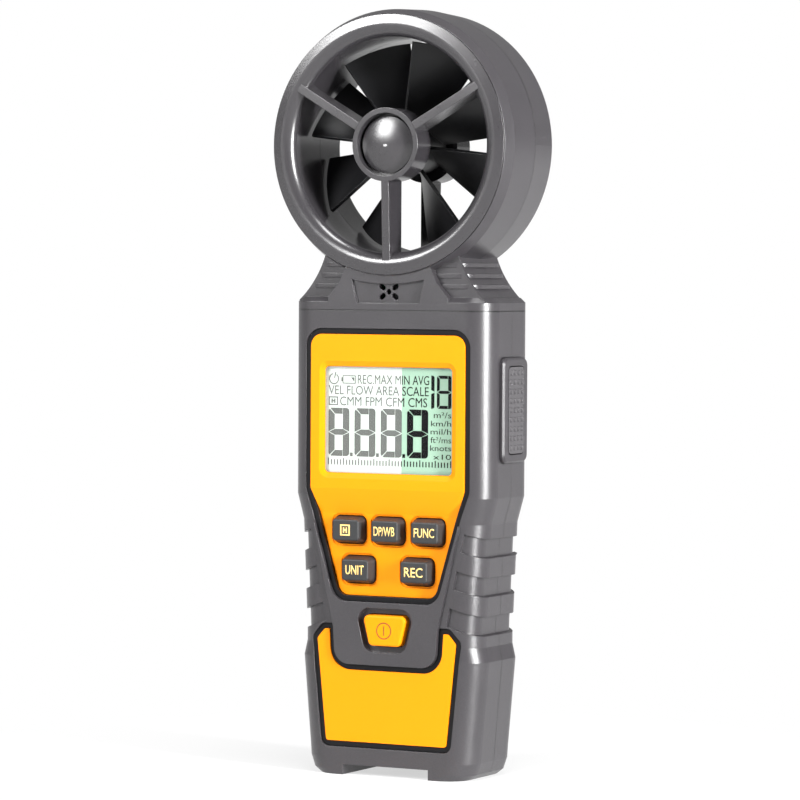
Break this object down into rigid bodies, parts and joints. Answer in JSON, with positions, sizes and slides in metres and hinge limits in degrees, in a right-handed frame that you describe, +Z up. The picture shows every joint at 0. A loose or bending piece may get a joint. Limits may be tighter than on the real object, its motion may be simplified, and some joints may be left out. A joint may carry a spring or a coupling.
{
  "type": "handheld weather meter",
  "caption": "Handheld vane weather meter with a ducted rotor in a round head, a display, rubber keys, a side key and a battery bay at the back",
  "frame": {"origin": "middle of the footprint on the floor, under the middle of the depth", "axes": "X width, Y from front to back, Z up along the case"},
  "size_m": [0.0792, 0.0332, 0.2226],
  "materials": {
    "grey_plastic": "fine textured moulding",
    "guard_plastic": "smooth satin",
    "orange_plastic": "smooth satin",
    "bezel_plastic": "satin",
    "key_rubber": "matte",
    "rotor_plastic": "satin",
    "steel": "satin",
    "magnet": "satin",
    "brass": "satin",
    "board": "satin",
    "component": "matte",
    "ribbon": "satin",
    "window": "polished",
    "display": "smooth",
    "backlight": "smooth",
    "battery_skin": "satin"
  },
  "bodies": {
    "root": {"front_cover": "grey_plastic", "rear_cover": "grey_plastic", "head_front": "grey_plastic", "head_rear": "grey_plastic", "front_guard": "guard_plastic", "rear_guard": "guard_plastic", "front_hub_cap": "guard_plastic", "rear_hub_cap": "guard_plastic", "front_bearing": "steel", "rear_bearing": "steel", "sensor_board": "board", "humidity_sensor": "component", "pickup_sensor": "component", "sensor_ribbon": "ribbon", "face_panel": "orange_plastic", "face_bezel": "bezel_plastic", "lower_panel": "orange_plastic", "lower_bezel": "bezel_plastic", "display_window": "window", "lcd_glass": "display", "lcd_backlight": "backlight", "contact_strips": "key_rubber", "main_board": "board", "main_chip": "component", "buzzer": "component", "board_screws": "steel", "key_mat": "key_rubber", "key_domes": "steel", "side_key_bezel": "grey_plastic", "side_board": "board", "side_switch": "component", "battery": "battery_skin", "battery_snap": "component", "battery_leads": "component", "case_screws": "steel", "head_screws": "steel", "tripod_insert": "brass"},
    "rotor": {"rotor": "rotor_plastic", "rotor_shaft": "steel", "rotor_magnet": "magnet"},
    "hold_key": {"hold_key": "key_rubber"},
    "wet_bulb_key": {"wet_bulb_key": "key_rubber"},
    "function_key": {"function_key": "key_rubber"},
    "unit_key": {"unit_key": "key_rubber"},
    "record_key": {"record_key": "key_rubber"},
    "power_key": {"power_key": "orange_plastic"},
    "side_key": {"side_key": "grey_plastic"},
    "battery_door": {"battery_door": "grey_plastic"}
  },
  "joints": [
    {"name": "rotor_spin", "type": "hinge", "parent": "root", "child": "rotor", "pos_m": [0, 0, 0.183], "axis": [0, 1, 0], "continuous": true},
    {"name": "hold_key_press", "type": "slide", "parent": "root", "child": "hold_key", "axis": [0, 1, 0], "range_m": [0, 0.0007], "stiffness_N_per_m": 400},
    {"name": "wet_bulb_key_press", "type": "slide", "parent": "root", "child": "wet_bulb_key", "axis": [0, 1, 0], "range_m": [0, 0.0007], "stiffness_N_per_m": 400},
    {"name": "function_key_press", "type": "slide", "parent": "root", "child": "function_key", "axis": [0, 1, 0], "range_m": [0, 0.0007], "stiffness_N_per_m": 400},
    {"name": "unit_key_press", "type": "slide", "parent": "root", "child": "unit_key", "axis": [0, 1, 0], "range_m": [0, 0.0007], "stiffness_N_per_m": 400},
    {"name": "record_key_press", "type": "slide", "parent": "root", "child": "record_key", "axis": [0, 1, 0], "range_m": [0, 0.0007], "stiffness_N_per_m": 400},
    {"name": "power_key_press", "type": "slide", "parent": "root", "child": "power_key", "axis": [0, 1, 0], "range_m": [0, 0.0007], "stiffness_N_per_m": 400},
    {"name": "side_key_press", "type": "slide", "parent": "root", "child": "side_key", "axis": [-1, 0, 0], "range_m": [0, 0.0007], "stiffness_N_per_m": 500},
    {"name": "battery_door_lift", "type": "slide", "parent": "root", "child": "battery_door", "axis": [0, 1, 0], "range_m": [0, 0.03]}
  ]
}
